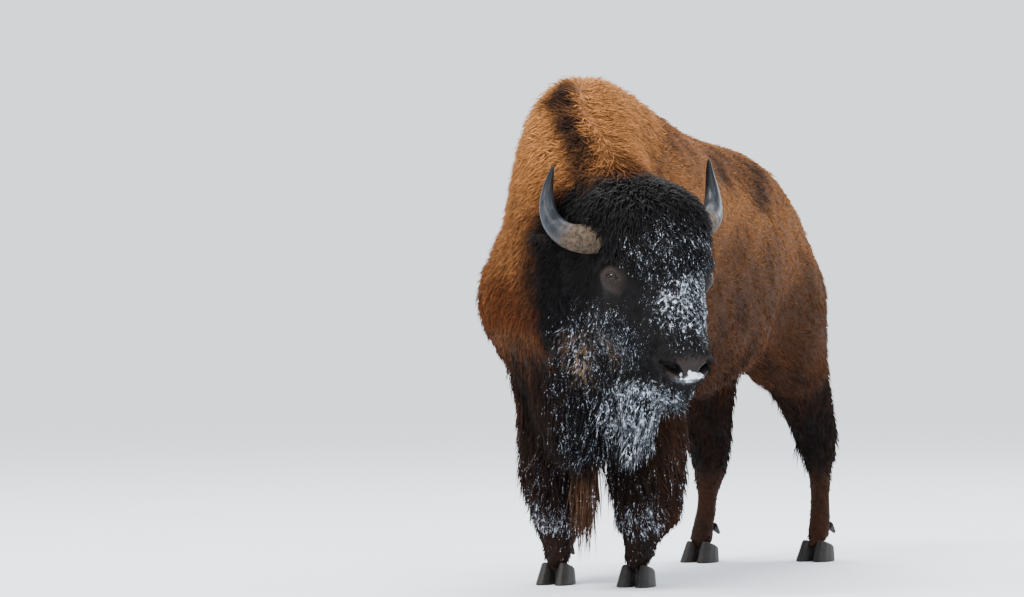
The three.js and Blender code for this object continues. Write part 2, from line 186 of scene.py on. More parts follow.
# Places on the bull.
# Its body is measured along the spine, which bends to its left at the loin and sharply at the neck:
# x to its left, y back from the front of the hump, z up. The head has its own frame at the eyes.
frame_shift = np.array([-0.25061, -0.63113])
spine_rear, spine_front, spine_step = 2.0, -1.3, 0.01
loin_bend, neck_bend = 8, 48
head_turn = math.radians(56)
eye_middle = np.array([0.33540, -0.92759, 1.058])
spine_y = np.arange(spine_rear, spine_front, -spine_step)


def rise(value, low, high):
    share = np.clip((value - low) / (high - low), 0, 1)
    return share * share * (3 - 2 * share)


def fall(value, low, high):
    return 1 - rise(value, low, high)


def heading(y):
    return np.radians(loin_bend * rise(-y, -1.3, -0.3) + neck_bend * rise(-y, -0.19, 0.29))


spine_turn = heading(spine_y)
step_turn = heading(spine_y[:-1] - spine_step / 2)
spine_steps = np.stack([np.sin(step_turn), -np.cos(step_turn)], 1) * spine_step
spine_xy = np.vstack([[0, spine_rear], [0, spine_rear] + np.cumsum(spine_steps, 0)]) + frame_shift


def on_body(points):
    """Body places of points, and the turn of the spine there."""
    found = np.empty((len(points), 3))
    turn = np.empty(len(points))
    batch = 20000
    for start in range(0, len(points), batch):
        part = slice(start, start + batch)
        away = points[part, None, :2] - spine_xy[None]
        near = (away**2).sum(-1).argmin(1)
        offset = points[part, :2] - spine_xy[near]
        a = spine_turn[near]
        turn[part] = a
        found[part, 0] = offset[:, 0] * np.cos(a) + offset[:, 1] * np.sin(a)
        found[part, 1] = spine_y[near] - offset[:, 0] * np.sin(a) + offset[:, 1] * np.cos(a)
        found[part, 2] = points[part, 2]
    return found, turn


head_left = np.array([math.cos(head_turn), math.sin(head_turn), 0])
head_forward = np.array([math.sin(head_turn), -math.cos(head_turn), 0])
head_up = np.array([0.0, 0, 1])
head_axes = np.stack([head_left, head_forward, head_up])


def in_head(points):
    return (points - eye_middle) @ head_axes.T


def from_head(points):
    return np.asarray(points) @ head_axes + eye_middle


# Head flesh.
# A broad skull that narrows to a square muzzle, a heavy jaw, and under them the cores of the beard
# and of the throat's mane. The masses run into each other as clay does.
sides = {"left": 1, "right": -1}
eye_size, lid_size, far_off = 0.0228, 0.0262, 99.0
eye_place = {s: sum(map(np.array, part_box(f"eye_{s}"))) / 2 for s in sides}


def unit(vector):
    return np.asarray(vector) / np.linalg.norm(vector)


def eye_axes(side):
    """Along the slit of the lids, upwards across it, and out of the eye, in the head's frame."""
    out = unit([side * 0.75, 0.65, 0.06])
    along = np.array([side * -0.65, 0.72, -0.20])
    along = unit(along - out * (along @ out))
    up = np.cross(along, out)
    return np.stack([along, up * np.sign(up[2]), out])


def lump(centre, radii, blend, tip=0.0):
    return ("lump", np.array(centre), np.array(radii), blend, math.radians(tip))


def bar(start, end, radius_a, radius_b, blend):
    return ("bar", np.array(start), np.array(end), blend, (radius_a, radius_b))


def both(make):
    return [make(1), make(-1)]


def orbit(side):
    """The bulge of the eyeball under its lids, in the socket's own mass."""
    name = "left" if side > 0 else "right"
    eye = in_head(eye_place[name])
    out = eye_axes(side)[2]
    return [
        lump(eye - out * 0.033, (0.054, 0.060, 0.052), 0.04),
        lump(eye, (lid_size, lid_size, lid_size), 0.022),
    ]


head_flesh = [
    # skull, forehead and poll
    lump((0, -0.010, 0.060), (0.152, 0.160, 0.140), 0.05),
    lump((0, 0.028, 0.160), (0.148, 0.122, 0.122), 0.06, 12),
    lump((0, -0.140, 0.190), (0.192, 0.155, 0.118), 0.08),
    # bridge of the nose, cheeks, the sides of the nose, and jaw
    bar((0, 0.078, 0.045), (0, 0.165, -0.195), 0.119, 0.089, 0.05),
    *both(lambda s: lump((s * 0.100, -0.030, -0.110), (0.078, 0.122, 0.130), 0.06, 20)),
    *both(lambda s: lump((s * 0.066, 0.075, -0.215), (0.062, 0.098, 0.088), 0.05, 25)),
    bar((0, -0.060, -0.200), (0, 0.120, -0.330), 0.095, 0.056, 0.05),
    # muzzle, nostrils, brows, lips and chin
    lump((-0.003, 0.195, -0.262), (0.080, 0.072, 0.060), 0.030, 25),
    *both(lambda s: lump((s * 0.056 - 0.004, 0.206, -0.268), (0.036, 0.048, 0.042), 0.018, 20)),
    *both(lambda s: bar((s * 0.165, -0.03, 0.052), (s * 0.130, 0.085, 0.04), 0.018, 0.016, 0.035)),
    lump((0, 0.192, -0.318), (0.076, 0.060, 0.030), 0.018, 15),
    lump((0, 0.150, -0.360), (0.060, 0.058, 0.030), 0.014, 15),
    # beard, nape and throat, and the orbits
    bar((-0.045, 0.010, -0.345), (-0.085, -0.030, -0.530), 0.084, 0.014, 0.05),
    lump((0, -0.235, 0.060), (0.185, 0.180, 0.190), 0.08),
    lump((0, -0.215, -0.190), (0.155, 0.150, 0.200), 0.08),
    *orbit(1),
    *orbit(-1),
]
nostril_run = [
    (0.084, 0.222, -0.270, 0.012),
    (0.064, 0.244, -0.286, 0.020),
    (0.038, 0.260, -0.312, 0.019),
]
mouth_run = [
    (0.096, 0.070, -0.322, 0.007),
    (0.060, 0.215, -0.344, 0.009),
    (0.0, 0.245, -0.346, 0.008),
]


def along_run(points, run, side):
    """Distance from a run of points through the head, as a share of the run's own radius."""
    found = np.full(len(points), far_off)
    for start, end in zip(run[:-1], run[1:]):
        a, b = np.array([side, 1, 1]) * start[:3], np.array([side, 1, 1]) * end[:3]
        share = np.clip(((points - a) @ (b - a)) / ((b - a) @ (b - a)), 0, 1)
        away = np.linalg.norm(points - a - share[:, None] * (b - a), axis=1)
        found = np.minimum(found, away / (start[3] + (end[3] - start[3]) * share))
    return found


def flesh_distance(points, masses):
    found = np.full(len(points), far_off)
    for kind, a, b, blend, extra in masses:
        if kind == "lump":
            # a tip turns the mass so that its front end comes down
            c, s = math.cos(extra), math.sin(extra)
            q = points - a
            q = np.stack([q[:, 0], q[:, 1] * c + q[:, 2] * s, -q[:, 1] * s + q[:, 2] * c], 1)
            share = np.sqrt(((q / b) ** 2).sum(1))
            slope = np.sqrt(((q / b**2) ** 2).sum(1)) + 1e-9
            d = share * (share - 1) / slope
        else:
            run = b - a
            share = np.clip(((points - a) @ run) / (run @ run), 0, 1)
            reach = np.linalg.norm(points - a - share[:, None] * run, axis=1)
            d = reach - (extra[0] + (extra[1] - extra[0]) * share)
        overlap = np.maximum(blend - np.abs(found - d), 0) / blend
        found = np.minimum(found, d) - overlap * overlap * blend / 4
    return found


def settled(points, masses, rounds=5, reach=0.03):
    """Points moved onto the surface of the masses, by reach at most in each round."""
    p, nudge = points.copy(), 0.0005
    for _ in range(rounds):
        d = flesh_distance(p, masses)
        slopes = [(flesh_distance(p + nudge * axis, masses) - d) / nudge for axis in np.eye(3)]
        slope = np.stack(slopes, 1)
        steep = np.maximum((slope**2).sum(1), 0.1)
        move = -(d / steep)[:, None] * slope
        size = np.linalg.norm(move, axis=1, keepdims=True) + 1e-9
        p += move * np.minimum(1, reach / size)
    return p


# Skin.
# One closed hide over the whole animal, from the muzzle to the tail and down to the hooves. It lies
# under the hair by the depth of the coat, and carries the folds, nostrils, mouth and eyelids.
hide_voxel = 0.0150
flesh_nodes = ["trunk", "neck", "head", "tail"]
flesh_nodes += [f"leg_{end}_{side}" for end in ("front", "hind") for side in sides]


def only(*objects):
    bpy.ops.object.select_all(action="DESELECT")
    for o in objects:
        o.select_set(True)
    bpy.context.view_layer.objects.active = objects[0]


def copy_of(*names, called):
    made = []
    for name in names:
        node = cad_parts[name]
        twin = placed(called, node.data.copy())
        twin.matrix_world = node.matrix_world
        made.append(twin)
    only(*made)
    if len(made) > 1:
        bpy.ops.object.join()
    piece = bpy.context.object
    piece.name = called
    piece.data.materials.clear()
    bpy.ops.object.transform_apply(location=True, rotation=True, scale=True)
    bpy.ops.object.mode_set(mode="EDIT")
    bpy.ops.mesh.select_all(action="SELECT")
    bpy.ops.mesh.remove_doubles(threshold=1e-5)
    bpy.ops.object.mode_set(mode="OBJECT")
    return piece


def triples(layer, key, kind=float):
    found = np.empty(len(layer) * 3, kind)
    layer.foreach_get(key, found)
    return found.reshape(-1, 3)


def places_of(piece):
    return triples(piece.data.vertices, "co")


def normals_of(piece):
    return triples(piece.data.vertex_normals, "vector")


def put_places(piece, points):
    piece.data.vertices.foreach_set("co", points.ravel())
    piece.data.update()


def modified(piece, kind, **settings):
    only(piece)
    change = piece.modifiers.new(kind.lower(), kind)
    for key, value in settings.items():
        setattr(change, key, value)
    bpy.ops.object.modifier_apply(modifier=change.name)


def remeshed(piece, size):
    piece.data.remesh_voxel_size = size
    bpy.ops.object.voxel_remesh()


skin = copy_of(*flesh_nodes, called="skin")
remeshed(skin, hide_voxel)
modified(skin, "SMOOTH", factor=0.5, iterations=12)


def coat_depth(body):
    """How far the hide lies under the tips of the coat."""
    _, y, z = body.T
    depth = 0.003 + 0.003 * rise(z, 0.7, 1.5) * rise(-y, -1.3, -0.5)
    depth += 0.004 * rise(-y, -0.6, -0.1) * rise(z, 0.7, 0.9)
    upper_foreleg = rise(-y, -0.6, -0.4) * rise(-z, -0.8, -0.6) * rise(z, 0.2, 0.3)
    return depth + 0.004 * upper_foreleg


def refine(piece, inside):
    """Halves the edges whose two ends lie where inside says."""
    keep = inside(places_of(piece))
    mesh = bmesh.new()
    mesh.from_mesh(piece.data)
    mesh.verts.ensure_lookup_table()
    edges = [e for e in mesh.edges if keep[e.verts[0].index] and keep[e.verts[1].index]]
    bmesh.ops.subdivide_edges(mesh, edges=edges, cuts=1, use_grid_fill=True)
    bmesh.ops.triangulate(mesh, faces=[f for f in mesh.faces if len(f.verts) > 4])
    mesh.to_mesh(piece.data)
    mesh.free()
    piece.data.update()


def head_share(points):
    """1 on the head, and 0 from the neck backwards."""
    body, _ = on_body(points)
    return rise(-body[:, 1], 0.30, 0.42) * rise(points[:, 2], 0.40, 0.46)


points = places_of(skin)
body, _ = on_body(points)
points = points - normals_of(skin) * coat_depth(body)[:, None]
share = head_share(points)[:, None]
points += share * (from_head(settled(in_head(points), head_flesh)) - points)
put_places(skin, points)
modified(skin, "SMOOTH", factor=0.5, iterations=3)


def on_face(points):
    x, forward, up = in_head(points).T
    return (forward > 0.02) & (up > -0.40) & (up < 0.06) & (np.abs(x) < 0.22)


def on_muzzle(points):
    x, forward, up = in_head(points).T
    return (forward > 0.13) & (up < -0.22) & (up > -0.38) & (np.abs(x) < 0.13)


nostril_place = {name: from_head((s * 0.054, 0.250, -0.292)) for name, s in sides.items()}


def close_to(places, reach):
    def inside(points):
        gaps = [np.linalg.norm(points - places[s], axis=1) for s in sides]
        return np.minimum(*gaps) < reach

    return inside


refine(skin, on_face)
refine(skin, on_muzzle)
refine(skin, close_to(nostril_place, 0.055))
for reach in (0.080, 0.056, 0.043, 0.035, 0.028):
    refine(skin, close_to(eye_place, reach))
points = places_of(skin)
share = (on_face(points) | close_to(eye_place, 0.09)(points))[:, None] * head_share(points)[:, None]
carved = settled(in_head(points), head_flesh, 7)
points += share * (from_head(carved) - points)
put_places(skin, points)

# The nostrils are deep commas under a raised wing, and the mouth is a groove back to the cheek.
nostril_depth, wing_rise, mouth_depth = 0.030, 0.0045, 0.010
carved, outward = in_head(points), normals_of(skin) @ head_axes.T
hollow_shade = np.zeros(len(points))
for side in sides.values():
    gap = along_run(carved, nostril_run, side)
    pit = fall(gap, 0.45, 1.05)
    into = unit([side * -0.25, -0.90, 0.30])
    wing = np.exp(-(((gap - 1.35) / 0.34) ** 2)) * rise(carved[:, 2], -0.335, -0.300)
    lips = fall(along_run(carved, mouth_run, side), 0.2, 1.1)
    points += from_head(pit[:, None] * nostril_depth * into) - eye_middle
    rest = wing_rise * wing * (1 - pit) - mouth_depth * lips
    points += from_head(rest[:, None] * outward) - eye_middle
    # painted shade: the nostril pits and the mouth's groove go nearly black, over their own dark
    # skin
    hollow_shade = np.max([hollow_shade, fall(gap, 0.60, 1.0), 0.8 * lips], 0)

# The lids part in an almond, and the skin above and below them lies in fine folds.
slit_half, slit_up, slit_down = 0.0240, 0.0142, 0.0106
lid_fold, slit_floor, socket_reach = 0.0019, 0.0175, 0.05


def in_eye(points, name):
    """Places measured from the middle of an eye: along its slit, up across it, and out."""
    return (in_head(points) - in_head(eye_place[name])) @ eye_axes(sides[name]).T


def slit_measure(q):
    """Below 1 inside the slit of the lids, and above 1 round it."""
    height = np.where(q[:, 1] > 0, slit_up, slit_down)
    return np.abs(q[:, 1]) / height + (q[:, 0] / slit_half) ** 2


for name, side in sides.items():
    q = in_eye(points, name)
    measure = slit_measure(q)
    reach = np.linalg.norm(q, axis=1)
    facing = (q[:, 2] > 0) & (reach < socket_reach)
    open_share = facing * fall(measure, 0.86, 1.06)
    fold = lid_fold * np.cos(math.tau * (measure - 1.0) / 0.85) * np.exp(-(measure - 1) / 1.6)
    fold *= facing * rise(measure, 1.0, 1.2) * fall(reach, 0.034, socket_reach)
    round_ball = rise(measure, 1.2, 2.6)
    lid = (lid_size + (reach - lid_size) * round_ball) * facing + reach * (1 - facing)
    target = (lid + fold) * (1 - open_share) + slit_floor * open_share
    q *= (target / reach)[:, None]
    moved = from_head(q @ eye_axes(side) + in_head(eye_place[name]))
    points += facing[:, None] * (moved - points)
put_places(skin, points)


class Hide:
    """The surface of a piece, on which hair is rooted."""

    def __init__(self, piece):
        piece.data.calc_loop_triangles()
        self.corners = triples(piece.data.loop_triangles, "vertices", np.int32)
        self.points, self.normals = places_of(piece), normals_of(piece)
        one, two, three = (self.points[self.corners[:, k]] for k in range(3))
        self.area = np.linalg.norm(np.cross(two - one, three - one), axis=1) / 2
        self.middles = Spots((one + two + three) / 3, self.normals[self.corners].mean(1))

    def sown(self, share, number, draw):
        """Roots spread evenly over the patches where share is above 0."""
        total = np.cumsum(self.area * share)
        picks = (np.arange(number) + draw.random(number)) / number * total[-1]
        patch = np.minimum(np.searchsorted(total, picks), len(total) - 1)
        a, b = draw.random((2, number))
        over = a + b > 1
        a[over], b[over] = 1 - a[over], 1 - b[over]
        weight = np.stack([1 - a - b, a, b], 1)[:, :, None]
        points = (self.points[self.corners[patch]] * weight).sum(1)
        normals = (self.normals[self.corners[patch]] * weight).sum(1)
        return Spots(points, normals)


class Spots:
    """Points of the hide, with their places on the body and in the head."""

    def __init__(self, points, normals):
        self.points = points
        self.way = None
        self.normals = normals / np.linalg.norm(normals, axis=1, keepdims=True)
        body, self.turn = on_body(points)
        self.x, self.y, self.z = body.T
        self.left, self.fore, self.up = in_head(points).T
        self.head = head_share(points)
        self.side = np.tanh(self.x / 0.06)
        self.cheek = np.tanh(self.left / 0.06)
        self.slit = np.full(len(points), far_off)
        for name in sides:
            q = in_eye(points, name)
            by_ball = (np.linalg.norm(q, axis=1) < socket_reach) & (q[:, 2] > 0)
            self.slit = np.where(by_ball, slit_measure(q), self.slit)


def near(at, centre, radii, start=0.35):
    """1 at a place in the head, falling to 0 at the radii round it."""
    gap = np.stack([at.left, at.fore, at.up], 1) - centre
    return fall(np.linalg.norm(gap / radii, axis=1), start, 1.0)


def near_body(at, centre, radii):
    """1 at a place on the body and at its mirror image, falling to 0 at ragged radii round it."""
    gap = np.stack([np.abs(at.x), at.y, at.z], 1) - centre
    gap += 0.040 * np.stack([ripple(at.points, 0.30, seed) for seed in (41, 42, 43)], 1)
    return fall(np.linalg.norm(gap / radii, axis=1), 0.1, 1.2)


def ripple(points, length, seed):
    """Smooth waves of about the given length, mostly between -1 and 1, in no one direction."""
    draw = np.random.default_rng(seed)
    total = np.zeros(len(points))
    for _ in range(7):
        run = draw.normal(size=3)
        run *= math.tau * draw.uniform(0.7, 1.5) / (length * np.linalg.norm(run))
        total += np.sin(points @ run + draw.uniform(0, math.tau))
    return total / 3.2


def mask_edge(at):
    """How far back the black hair of the head reaches."""
    return -0.31 + 0.13 * rise(at.up, 0.16, 0.34) - 0.05 * rise(-at.up, 0.36, 0.52)


def markings(at):
    """Shares of each colour of hair, from 0 to 1."""
    patchy = ripple(at.points, 0.35, 11)
    streaky = ripple(at.points * [1, 1, 0.4], 0.09, 12)
    wander = 0.030 * ripple(at.points, 0.22, 13) + 0.014 * ripple(at.points, 0.07, 14)

    # a golden cape over hump, neck and shoulders, with a slanting rear edge; it reddens downwards
    rear = 0.12 + 1.35 * np.maximum(at.z - 1.40, 0) + 0.50 * np.maximum(1.15 - at.z, 0)
    cape = fall(at.y + 0.8 * wander, rear - 0.03, rear + 0.09)
    gold = cape * rise(at.z + wander, 0.90, 1.06)
    ribs = rise(at.z + wander, 0.86, 1.12) * (0.36 + 0.16 * patchy + 0.14 * streaky)
    # painted shade along the cape's rear edge, where the long cape hair overhangs the flank: less
    # gold, more dark brown
    cape_edge_shade = cape * (1 - cape) * 4
    # the gold thins downwards on the cape: partly its own colour, partly painted shade under the
    # hump and down the neck
    gold *= 0.34 + 0.66 * rise(at.z + wander, 1.14, 1.66)
    # painted highlight: lighter gold on the upper flank behind the cape, on both sides
    painted_highlight = 0.42 * near_body(at, (0.30, 0.62, 1.31), (0.25, 0.56, 0.20))
    gold = np.clip(gold + (1 - cape) * (1.1 * ribs + painted_highlight), 0, 1) * (1 - 0.25 * cape_edge_shade)
    rust = cape * rise(at.z + wander, 0.86, 0.93) * fall(at.z + wander, 0.96, 1.16)
    rust = np.maximum(rust, 0.35 * (1 - cape) * fall(at.z, 0.62, 1.0))

    # dark hair: the stripe on the crest, the head and throat, the chest, the thighs and the legs,
    # and painted shade on the flank
    crest_x = -0.045 - 0.045 * rise(-at.y, 0.08, 0.34)
    crest = fall(np.abs(at.x - crest_x + 0.45 * wander), 0.012, 0.064)
    crest *= rise(at.z, 1.20, 1.30) * rise(-at.y, -0.02, 0.04)
    edge = mask_edge(at)
    mask = rise(at.fore + 0.7 * wander, edge - 0.035, edge + 0.035) * rise(-at.y, 0.06, 0.14)
    # a darker, redder band behind the black mask: partly the hair's own colour, partly painted
    # shade on the neck behind the head
    shaded_collar = rise(at.fore + wander, edge - 0.13, edge) * rise(-at.y, 0.02, 0.12)
    low = fall(at.z + 1.6 * wander + 0.13 * rise(at.y, 0.9, 1.1), 0.70, 0.90)
    tufted = np.clip(0.5 + 0.5 * ripple(at.points * [1, 1, 0.3], 0.05, 17), 0, 1)
    chest = low * fall(at.y, 0.42, 0.60)
    thigh = fall(at.z + 1.5 * wander, 0.50, 0.72) * rise(at.y, 0.95, 1.12)
    shank = fall(at.z, 0.26, 0.36)
    loin = near_body(at, (0.24, 0.92, 1.39), (0.22, 0.46, 0.19))
    # painted shade: a broad dark patch on the middle of each flank
    flank_shade = near_body(at, (0.33, 0.74, 1.02), (0.26, 0.66, 0.27))
    haunch = 0.75 * rise(at.y, 1.00, 1.14) * fall(at.z + wander, 0.98, 1.22)
    belly = (1 - cape) * fall(at.z + wander, 0.66, 0.86)
    thigh *= 0.90 - 0.22 * tufted
    chest *= 0.90 - 0.18 * tufted
    black = np.max([0.36 * crest, mask, chest, thigh * (1 - 0.75 * shank)], 0)
    dusk = [0.70 * shaded_collar, 0.62 * flank_shade, 0.68 * haunch, loin * (0.74 + 0.3 * streaky), 0.62 * belly]
    dusk += [0.4 * (1 - cape) * cape_edge_shade, 0.80 * low * (1 - 0.6 * shank), 0.35 * shank, 0.96 * crest]
    dusk = np.clip(np.max(dusk, 0) + 0.14 * patchy + 0.16 * streaky, 0, 1)

    # the outer edge of the forelegs, the collar and the shanks stay reddish
    outer = rise(np.abs(at.x), 0.20, 0.28) * fall(at.z, 0.70, 0.9) * fall(at.y, 0.5, 0.6)
    rust = np.clip(np.max([rust, 0.7 * outer, 0.95 * shank, 0.55 * shaded_collar], 0), 0, 1)
    peak = near(at, (-0.02, -0.24, 0.33), (0.20, 0.14, 0.09))
    lock = brisket(at)
    rust = np.max([rust * (1 - 0.4 * lock), 0.5 * lock, 0.8 * peak * at.head], 0)
    black = np.clip(black * (1 - 0.55 * outer) * (1 - 0.62 * lock) * (1 - 0.35 * peak), 0, 1)
    gold = gold * (1 - lock)

    # straw hair on the jaw, rime where breath freezes on the face, and bare hide at eyes and nose
    jaw = np.max([near(at, (s * 0.19, -0.13, -0.25), (0.11, 0.20, 0.12)) for s in (1, -1)], 0)
    tan = np.maximum(jaw * np.clip(0.62 + 0.5 * streaky, 0, 1), 0.22 * lock)
    nose = near(at, (0, 0.245, -0.292), (0.108, 0.090, 0.066), 0.55)
    lids = fall(eye_gap(at) + 0.010 * ripple(at.points, 0.07, 18), 0.022, 0.072)
    bare = at.head * np.maximum(nose, lids)
    names = ("gold", "rust", "dusk", "black", "tan", "frost", "bare")
    return dict(zip(names, (gold, rust, dusk, black, tan, rime(at), bare)))


def brisket(at):
    """1 where the long brown lock hangs between the forelegs."""
    gap = np.stack([at.x - 0.010, at.y + 0.10, at.z - 0.50], 1) / (0.027, 0.15, 0.10)
    return fall(np.linalg.norm(gap, axis=1), 0.5, 1.0)


def eye_gap(at):
    return np.minimum(*(np.linalg.norm(at.points - eye_place[s], axis=1) for s in sides))


def rime(at):
    """Frost from the breath on the nose, cheeks, chin and brow, and a little on the knees."""
    bridge = 0.93 * near(at, (0.015, 0.17, -0.095), (0.190, 0.19, 0.230), 0.35)
    bridge *= rise(at.left + 0.25 * (at.up + 0.1), -0.165, -0.080)
    chin = near(at, (-0.05, 0.00, -0.42), (0.20, 0.36, 0.17), 0.5)
    tufts = 0.84 + 0.16 * ripple(at.points * [1, 1, 0.25], 0.035, 16)
    chin *= tufts * rise(at.fore + 0.5 * at.left, -0.36, -0.22)
    cheeks = [0.54 * near(at, (s * 0.18, -0.04, -0.20), (0.17, 0.34, 0.20), 0.5) for s in (1, -1)]
    brow = 0.46 * near(at, (0.00, 0.12, 0.09), (0.20, 0.25, 0.17), 0.6)
    throat = 0.42 * near(at, (-0.10, -0.26, -0.36), (0.22, 0.2, 0.30), 0.6)
    clot = 2.0 * near(at, (0.012, 0.262, -0.318), (0.044, 0.05, 0.018))
    knees = 0.72 * fall(np.abs(at.z - 0.24), 0.05, 0.10) * fall(at.y, 0.18, 0.30)
    knees = np.maximum(knees, 0.30 * fall(at.z, 0.40, 0.75) * fall(at.y, 0.45, 0.60))
    dark = 1 - 0.9 * fall(eye_gap(at), 0.055, 0.085)
    frost = dark * np.max([bridge, chin, *cheeks, brow, throat, clot], 0)
    return np.clip(np.maximum(frost, knees * (1 - at.head)), 0, 1)


def lie(at):
    """The way the hair points, along the hide."""
    top = rise(at.z, 1.15, 1.45)
    ahead = rise(-at.y, -0.40, 0.05)
    leg = fall(at.z, 0.55, 0.75)
    across = at.side * (0.25 + 0.65 * ahead * top)
    along = (1.0 - 0.55 * ahead) * (1 - leg) + 0.15 * leg
    down = 0.30 + 0.55 * ahead + 0.55 * fall(at.z, 0.75, 1.1)
    down = down * (1 - leg) + leg
    c, s = np.cos(at.turn), np.sin(at.turn)
    body = np.stack([across * c - along * s, across * s + along * c, -down], 1)

    crown = rise(at.up, 0.00, 0.14)
    whorl = np.stack([at.left * 1.1, at.fore + 0.19, 0.5 * (at.up - 0.32)], 1)
    whorl /= np.linalg.norm(whorl, axis=1, keepdims=True) + 0.02
    whorl[:, 2] -= 0.40
    back = rise(-at.fore, -0.10, 0.15)
    face = np.stack([0.20 * at.cheek, 0.05 - 0.40 * back, np.full(len(back), -1.0)], 1)
    head = face + crown[:, None] * (whorl - face)
    flow = body + at.head[:, None] * (head @ head_axes - body)

    # swirls of a hand's width, so that the coat never lies like combed thread
    swirl = 0.35 * ripple(at.points, 0.16, 21) + 0.32 * ripple(at.points, 0.05, 22)
    flow -= (flow * at.normals).sum(1)[:, None] * at.normals
    flow /= np.linalg.norm(flow, axis=1, keepdims=True) + 1e-6
    across = np.cross(at.normals, flow)
    return flow * np.cos(swirl)[:, None] + across * np.sin(swirl)[:, None]


def fore_belly(at):
    return rise(at.y, 0.10, 0.30) * fall(at.y, 0.80, 1.00) * fall(at.z, 0.66, 0.80)


def hair(at):
    """Length, width, lift and waviness of the locks."""
    cape = fall(at.y, 0.25, 0.55) * rise(at.z, 0.80, 1.0)
    mane = rise(-at.y, -0.10, 0.15)
    leg = fall(at.z, 0.62, 0.80)
    fore = fall(at.y, 0.50, 0.65)
    fringe = (1 - leg) * fall(at.z, 0.68, 0.90) * (1 + 2.2 * fore_belly(at))
    curly = near_body(at, (0.24, 0.92, 1.40), (0.18, 0.30, 0.18))
    tail = rise(at.y, 1.60, 1.66) * fall(np.abs(at.x), 0.10, 0.14)
    length = 0.032 + 0.002 * cape + 0.012 * mane + 0.018 * fringe
    length += leg * (0.012 + 0.052 * fore * rise(at.z, 0.22, 0.40))
    length -= leg * 0.026 * fall(at.z, 0.18, 0.50) * (1 - fore)
    length -= 0.020 * fall(at.z, 0.14, 0.26) * fore
    length += 0.060 * tail * fall(at.z, 0.72, 0.92)
    inner = leg * fore * fall(np.abs(at.x), 0.09, 0.17) * rise(at.z, 0.20, 0.30)
    length += 0.030 * inner
    lift = 17 + 20 * cape - 8 * mane * fall(at.z, 1.0, 1.3) + 4 * leg
    lift += 7 * leg * fore
    lift += 12 * curly
    lift -= 8 * fall(at.z, 0.20, 0.36)
    width = 0.0043 - 0.0004 * cape + 0.0006 * mane + 0.0008 * leg
    wave = 0.09 + 0.05 * cape + 0.10 * curly

    crown = rise(at.up, 0.00, 0.12)
    snout = rise(at.fore, 0.02, 0.14) * fall(at.up, -0.07, 0.02)
    jowl = rise(-at.up, 0.08, 0.26) * (1 - snout)
    beard = rise(-at.up, 0.345, 0.42)
    h_length = 0.026 + 0.040 * crown + 0.026 * jowl - 0.004 * snout
    peak = near(at, (-0.02, -0.24, 0.33), (0.22, 0.20, 0.14))
    h_length += 0.034 * peak
    h_length += beard * 0.060
    h_lift = 18 + 14 * crown + 16 * peak + 3 * snout - 6 * beard
    h_width = 0.0042 + 0.0012 * crown + 0.0010 * jowl
    h_wave = 0.08 + 0.03 * crown
    bare = fall(eye_gap(at), 0.034, 0.080)
    h_length *= 1 - 0.66 * bare
    h_width *= 1 - 0.45 * bare
    h_lift *= 1 - 0.2 * bare

    def mixed(body, head):
        return body + at.head * (head - body)

    length = np.maximum(mixed(length, h_length), 0.006)
    return length, mixed(width, h_width), np.radians(mixed(lift, h_lift)), mixed(wave, h_wave)


def share_of(name):
    return Tie.node("ShaderNodeAttribute", {"attribute_name": name}, output="Fac")


def scaled(colour, amount):
    return vector_math("SCALE", _0=colour, Scale=amount)


golden, tawny, russet = (0.320, 0.130, 0.040), (0.088, 0.035, 0.014), (0.072, 0.021, 0.007)
umber, soot, straw = (0.023, 0.0105, 0.0060), (0.0050, 0.0044, 0.0046), (0.170, 0.105, 0.062)
white_rime, thin_rime = (0.62, 0.68, 0.76), (0.115, 0.125, 0.150)
nose_leather, nose_brown = (0.0160, 0.0135, 0.0130), (0.0200, 0.0120, 0.0098)
lid_leather = (0.0185, 0.0106, 0.0084)


def coat_colour(strand, shade):
    """The markings as colours of hair, lighter towards the tips, with rime caught in it."""
    grain = noise(90, 3, stretch=(1, 1, 0.25))
    curled = between(noise(85, 3), 0.30, 0.70)
    fur = tint(share_of("gold"), tawny, golden)
    fur = tint(share_of("rust") * 0.9, fur, russet)
    fur = tint(share_of("dusk"), fur, umber)
    fur = tint(share_of("black"), fur, soot)
    fur = tint(share_of("tan") * between(grain, 0.42, 0.60), fur, straw)
    fur = scaled(fur, (0.52 + 0.70 * strand) * (0.62 + 0.76 * shade) * (0.72 + 0.56 * curled))
    frost = share_of("frost")
    clots = 0.9 * noise(250, 3, stretch=(1, 1, 0.5)) + 0.34 * noise(30, 2)
    caught = clots + 0.28 * shade + 0.16 * strand + 0.36 * frost
    clumps = between(noise(58, 1) + 0.22 * frost, 0.80, 0.85) * between(frost, 0.5, 0.8)
    caught = between(caught, 1.14, 1.26) * between(frost, 0.03, 0.2)
    caught = Tie.maths("MAXIMUM", caught, clumps)
    packed = between(noise(75, 2), 0.46, 0.64)
    return tint(caught, fur, tint(packed, thin_rime, white_rime))


def marked(piece, **shares):
    """Values kept at the points of a piece, for its material."""
    for name, values in shares.items():
        layer = piece.data.attributes.new(name, "FLOAT", "POINT")
        layer.data.foreach_set("value", values.astype(np.float32))


def finished(piece, paint, nodes=()):
    piece.data.materials.clear()
    piece.data.materials.append(paint)
    only(piece)
    bpy.ops.object.shade_smooth()
    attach(piece, "root")
    if nodes:
        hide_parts(*nodes)


skin_hide, shader = material("skin_hide", Roughness=0.75, Specular_IOR_Level=0.12)
fur = coat_colour(0.15, 0.4)
pores = noise(420, 3)
leather = tint(between(noise(35, 3), 0.35, 0.7), nose_leather, nose_brown)
leather = tint(share_of("lids") * between(pores, 0.2, 0.5), leather, lid_leather)
